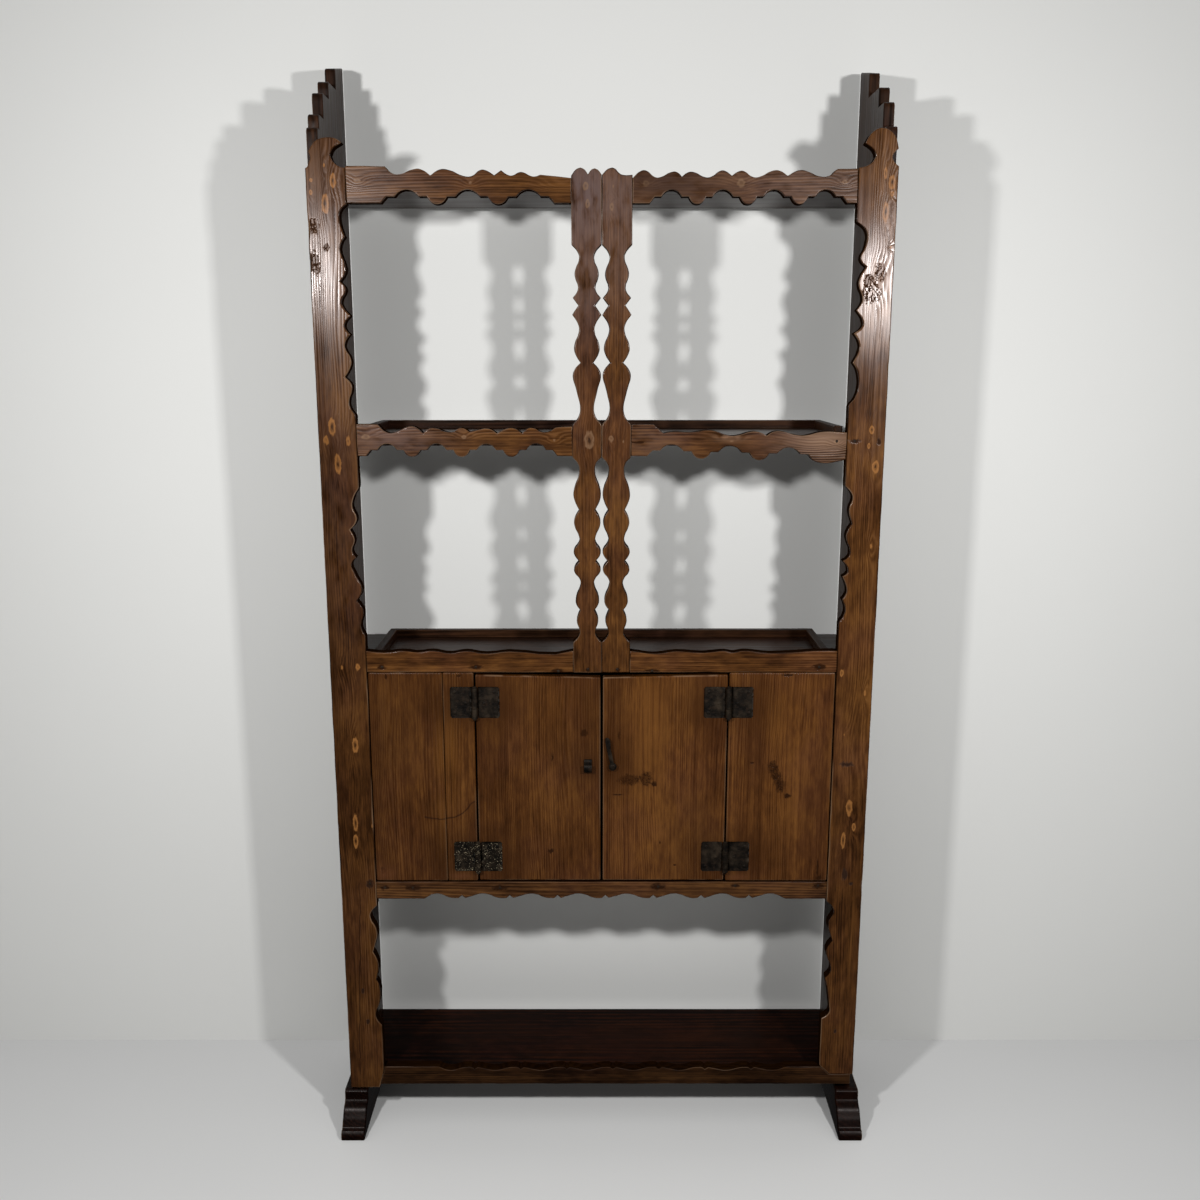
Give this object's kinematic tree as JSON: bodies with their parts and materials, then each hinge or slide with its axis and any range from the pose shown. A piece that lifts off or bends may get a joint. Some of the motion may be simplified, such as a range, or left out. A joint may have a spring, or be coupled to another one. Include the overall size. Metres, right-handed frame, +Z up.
{
  "type": "plate rack cabinet",
  "caption": "Tall shallow rustic wooden rack with carved open plate shelves over a cupboard with hinged doors and a drop latch, an open shelf below, on sled feet.",
  "frame": {"origin": "on the floor, in the middle of the footprint of the two sled feet", "axes": "+Z up; +Y from the doors to the wall side; +X to the right of someone facing the doors"},
  "size_m": [0.974, 0.283, 1.932],
  "materials": {
    "frame_wood": "waxed, worn",
    "door_wood": "waxed, warm brown",
    "side_wood": "dark stain",
    "dark_wood": "very dark stain",
    "forged_iron": "aged, dull"
  },
  "bodies": {
    "cabinet": {"apron_rail": "frame_wood", "baluster_left": "frame_wood", "baluster_right": "frame_wood", "base_rail": "frame_wood", "bottom_shelf_board": "dark_wood", "cupboard_back_board_1": "side_wood", "cupboard_back_board_2": "side_wood", "cupboard_back_board_3": "side_wood", "cupboard_back_board_4": "side_wood", "cupboard_floor_board": "side_wood", "cupboard_rail_left": "frame_wood", "cupboard_rail_right": "frame_wood", "cupboard_top_board": "side_wood", "cupboard_top_stop_back": "side_wood", "cupboard_top_stop_left": "side_wood", "cupboard_top_stop_right": "side_wood", "foot_left": "dark_wood", "foot_right": "dark_wood", "hinge_left_lower_fixed_leaf": "forged_iron", "hinge_left_lower_pin": "forged_iron", "hinge_left_upper_fixed_leaf": "forged_iron", "hinge_left_upper_pin": "forged_iron", "hinge_right_lower_fixed_leaf": "forged_iron", "hinge_right_lower_pin": "forged_iron", "hinge_right_upper_fixed_leaf": "forged_iron", "hinge_right_upper_pin": "forged_iron", "panel_left_narrow": "door_wood", "panel_left_wide": "door_wood", "panel_right": "door_wood", "plate_rail_left": "frame_wood", "plate_rail_right": "frame_wood", "plate_shelf_board": "side_wood", "plate_shelf_stop_back": "side_wood", "plate_shelf_stop_left": "side_wood", "plate_shelf_stop_right": "side_wood", "side_board_left": "side_wood", "side_board_right": "side_wood", "stile_left": "frame_wood", "stile_right": "frame_wood", "top_board": "side_wood", "top_rail_left": "frame_wood", "top_rail_right": "frame_wood"},
    "left_door": {"door_left": "door_wood", "hinge_left_upper_door_leaf": "forged_iron", "hinge_left_lower_door_leaf": "forged_iron", "latch_keeper": "forged_iron"},
    "right_door": {"door_right": "door_wood", "hinge_right_upper_door_leaf": "forged_iron", "hinge_right_lower_door_leaf": "forged_iron", "latch_stud": "forged_iron"},
    "latch": {"latch_bar": "forged_iron"}
  },
  "joints": [
    {"name": "left_door_hinge", "type": "hinge", "parent": "cabinet", "child": "left_door", "pos_m": [-0.2233, -0.0975, 0.695], "axis": [0, 0, -1], "range_deg": [0, 165]},
    {"name": "right_door_hinge", "type": "hinge", "parent": "cabinet", "child": "right_door", "pos_m": [0.2233, -0.0975, 0.695], "axis": [0, 0, 1], "range_deg": [0, 165]},
    {"name": "latch_drop", "type": "hinge", "parent": "right_door", "child": "latch", "pos_m": [0.0195, -0.0972, 0.722], "axis": [0, -1, 0], "range_deg": [0, 78]}
  ]
}
